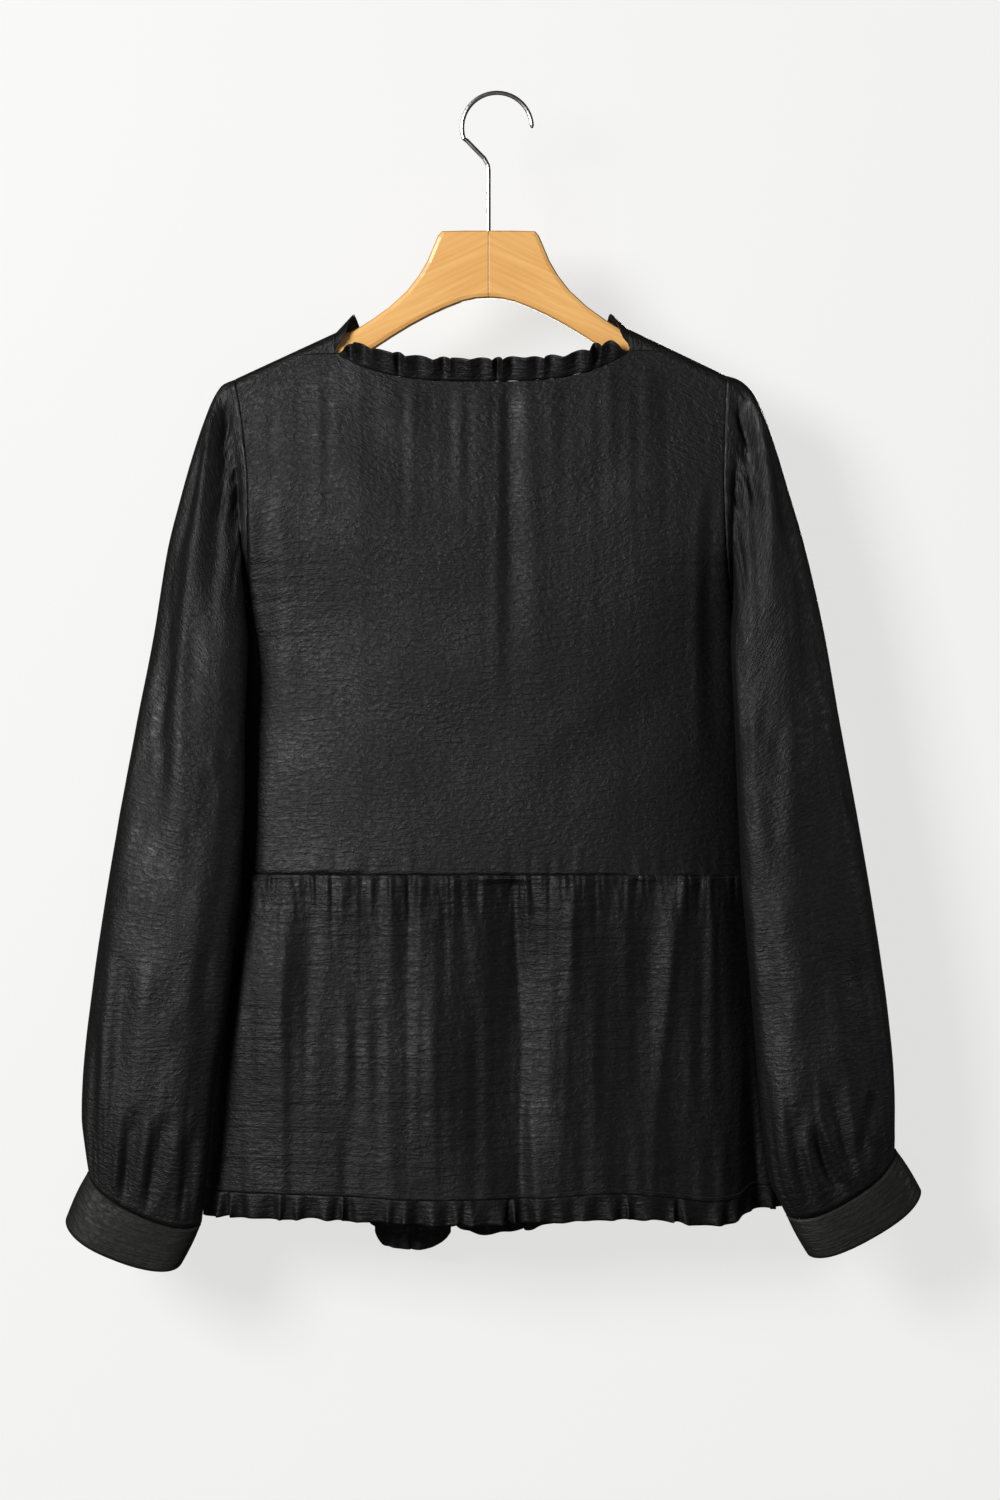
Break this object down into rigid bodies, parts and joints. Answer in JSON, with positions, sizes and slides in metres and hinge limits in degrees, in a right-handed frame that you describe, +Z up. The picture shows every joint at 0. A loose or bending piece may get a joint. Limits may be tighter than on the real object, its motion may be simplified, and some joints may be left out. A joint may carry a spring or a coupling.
{
  "type": "babydoll blouse on a clothes hanger",
  "caption": "long-sleeved babydoll blouse with a gathered peplum, puffed sleeves in cuffs and ruffled edges, hanging on a flat wooden hanger with a wire hook",
  "frame": {"origin": "the underside of the hook's top, where it rests on a rail", "axes": "+Z up, +Y from the blouse's back to its front, +X to the wearer's right"},
  "size_m": [0.6405, 0.0971, 0.8826],
  "materials": {
    "black_satin": "crinkled satin with a fine slub",
    "black_cuff_cloth": "the same cloth, interfaced and flatter",
    "varnished_wood": "clear varnish",
    "nickel_wire": "plated wire"
  },
  "bodies": {
    "root": {"bodice_back": "black_satin", "bodice_front_left": "black_satin", "bodice_front_right": "black_satin", "peplum_back": "black_satin", "peplum_front_left": "black_satin", "peplum_front_right": "black_satin", "sleeve_left": "black_satin", "sleeve_right": "black_satin", "cuff_left": "black_cuff_cloth", "cuff_right": "black_cuff_cloth", "ruffle_neck": "black_satin", "ruffle_front_left": "black_satin", "ruffle_front_right": "black_satin", "ruffle_hem_back": "black_satin", "ruffle_hem_front_left": "black_satin", "ruffle_hem_front_right": "black_satin", "hanger_wood": "varnished_wood", "hanger_hook": "nickel_wire"}
  },
  "joints": []
}
